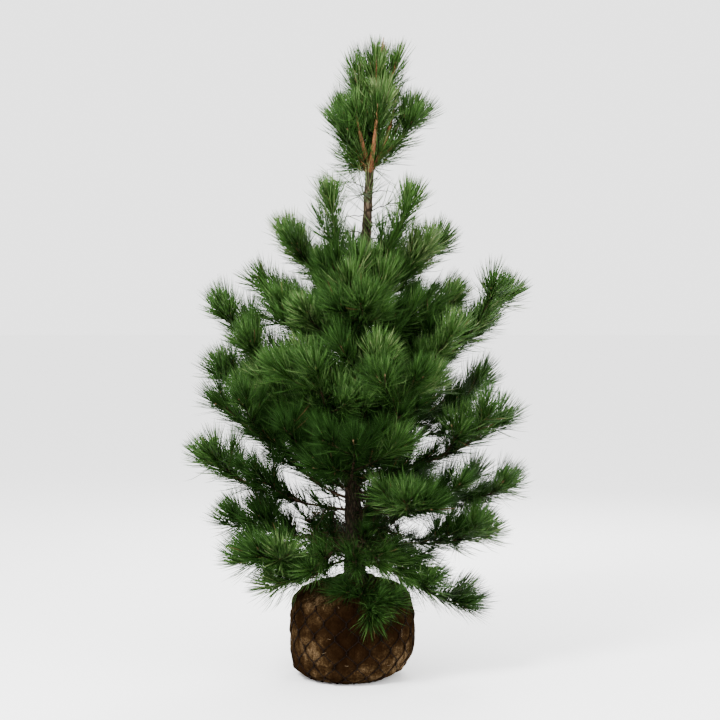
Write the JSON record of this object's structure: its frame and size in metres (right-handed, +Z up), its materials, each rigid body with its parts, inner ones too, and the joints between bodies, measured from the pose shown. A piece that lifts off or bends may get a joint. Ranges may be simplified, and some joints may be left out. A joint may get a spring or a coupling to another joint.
{
  "type": "sapling with root ball",
  "caption": "Young pine with a straight trunk, whorls of upswept boughs and long needles, lifted with its root ball wrapped in sacking and wire netting.",
  "frame": {"origin": "centre of the root ball's flat underside", "axes": "+Z up along the trunk, +X to the tree's right as seen from its front, -Y towards its front"},
  "size_m": [1.208, 0.9694, 2.2552],
  "materials": {
    "bark": "rough, flaking in small plates",
    "young_bark": "smooth, orange-brown",
    "needles": "satin green needles",
    "sacking": "coarse damp burlap under rusty wire netting"
  },
  "bodies": {
    "root": {"bough_broad_left": "bark", "bough_broad_right": "bark", "bough_foot_front": "bark", "bough_foot_left": "bark", "bough_foot_right": "bark", "bough_lower_front_right": "bark", "bough_lower_left": "bark", "bough_lower_right": "bark", "bough_middle_left": "bark", "bough_middle_right": "bark", "bough_shoulder_front_left": "bark", "bough_shoulder_front_right": "bark", "bough_shoulder_left": "bark", "bough_shoulder_right": "bark", "bough_skirt_front_left": "bark", "bough_skirt_left": "bark", "bough_skirt_right": "bark", "bough_top_left": "young_bark", "bough_top_right": "young_bark", "bough_waist_right": "bark", "foliage_broad_front_left": "needles", "foliage_broad_front_right": "needles", "foliage_broad_left": "needles", "foliage_broad_rear": "needles", "foliage_broad_right": "needles", "foliage_foot_front": "needles", "foliage_foot_left": "needles", "foliage_foot_right": "needles", "foliage_leader": "needles", "foliage_lower_front_right": "needles", "foliage_lower_left": "needles", "foliage_lower_rear": "needles", "foliage_lower_right": "needles", "foliage_middle_front": "needles", "foliage_middle_left": "needles", "foliage_middle_rear": "needles", "foliage_middle_right": "needles", "foliage_shoulder_front_left": "needles", "foliage_shoulder_front_right": "needles", "foliage_shoulder_left": "needles", "foliage_shoulder_rear": "needles", "foliage_shoulder_right": "needles", "foliage_skirt_front_left": "needles", "foliage_skirt_left": "needles", "foliage_skirt_rear": "needles", "foliage_skirt_right": "needles", "foliage_top_front": "needles", "foliage_top_left": "needles", "foliage_top_rear": "needles", "foliage_top_right": "needles", "foliage_upper_front": "needles", "foliage_upper_left": "needles", "foliage_upper_rear": "needles", "foliage_upper_right": "needles", "foliage_waist_front": "needles", "foliage_waist_left": "needles", "foliage_waist_rear": "needles", "foliage_waist_right": "needles", "root_ball": "sacking", "trunk": "bark"}
  },
  "joints": []
}
